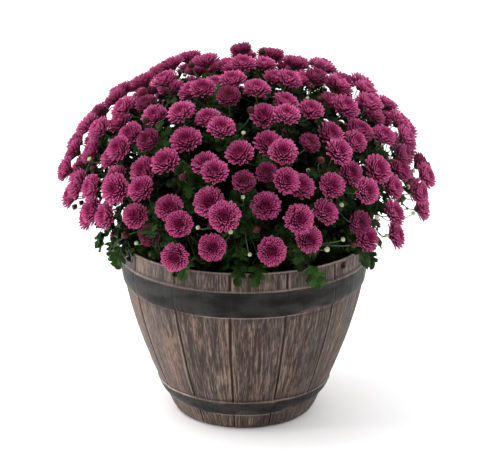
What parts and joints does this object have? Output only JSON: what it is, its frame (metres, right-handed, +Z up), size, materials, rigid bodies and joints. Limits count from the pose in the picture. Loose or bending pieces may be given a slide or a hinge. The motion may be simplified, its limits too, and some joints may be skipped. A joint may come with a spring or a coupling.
{
  "type": "pot chrysanthemum",
  "caption": "Dome-shaped garden mum in full magenta-purple flower, growing in soil in a moulded half-barrel planter; stands on its flat base.",
  "frame": {"origin": "centre of the planter's flat underside, on the surface it stands on", "axes": "+Z up along the planter's axis; -Y is the front, the side seen first; +X is to the right seen from the front"},
  "size_m": [0.4909, 0.4957, 0.4922],
  "materials": {
    "resin": "satin",
    "soil": "matte",
    "foliage": "matte",
    "petals": "matte"
  },
  "bodies": {
    "root": {"barrel_pot": "resin", "potting_soil": "soil", "leafy_stem_01": "foliage", "leafy_stem_02": "foliage", "leafy_stem_03": "foliage", "leafy_stem_04": "foliage", "leafy_stem_05": "foliage", "leafy_stem_06": "foliage", "leafy_stem_07": "foliage", "leafy_stem_08": "foliage", "leafy_stem_09": "foliage", "leafy_stem_10": "foliage", "leafy_stem_11": "foliage", "leafy_stem_12": "foliage", "spray_01": "petals", "spray_02": "petals", "spray_03": "petals", "spray_04": "petals", "spray_05": "petals", "spray_06": "petals", "spray_07": "petals", "spray_08": "petals", "spray_09": "petals", "spray_10": "petals", "spray_11": "petals", "spray_12": "petals", "spray_13": "petals", "spray_14": "petals", "spray_15": "petals", "spray_16": "petals", "spray_17": "petals", "spray_18": "petals", "spray_19": "petals", "spray_20": "petals", "spray_21": "petals", "spray_22": "petals", "spray_23": "petals", "spray_24": "petals", "spray_25": "petals", "spray_26": "petals", "spray_27": "petals", "spray_28": "petals", "spray_29": "petals", "spray_30": "petals", "spray_31": "petals", "spray_32": "petals", "spray_33": "petals", "spray_34": "petals", "spray_35": "petals", "spray_36": "petals", "spray_37": "petals", "spray_38": "petals", "spray_39": "petals", "spray_40": "petals", "spray_41": "petals", "spray_42": "petals", "spray_43": "petals", "spray_44": "petals"}
  },
  "joints": []
}
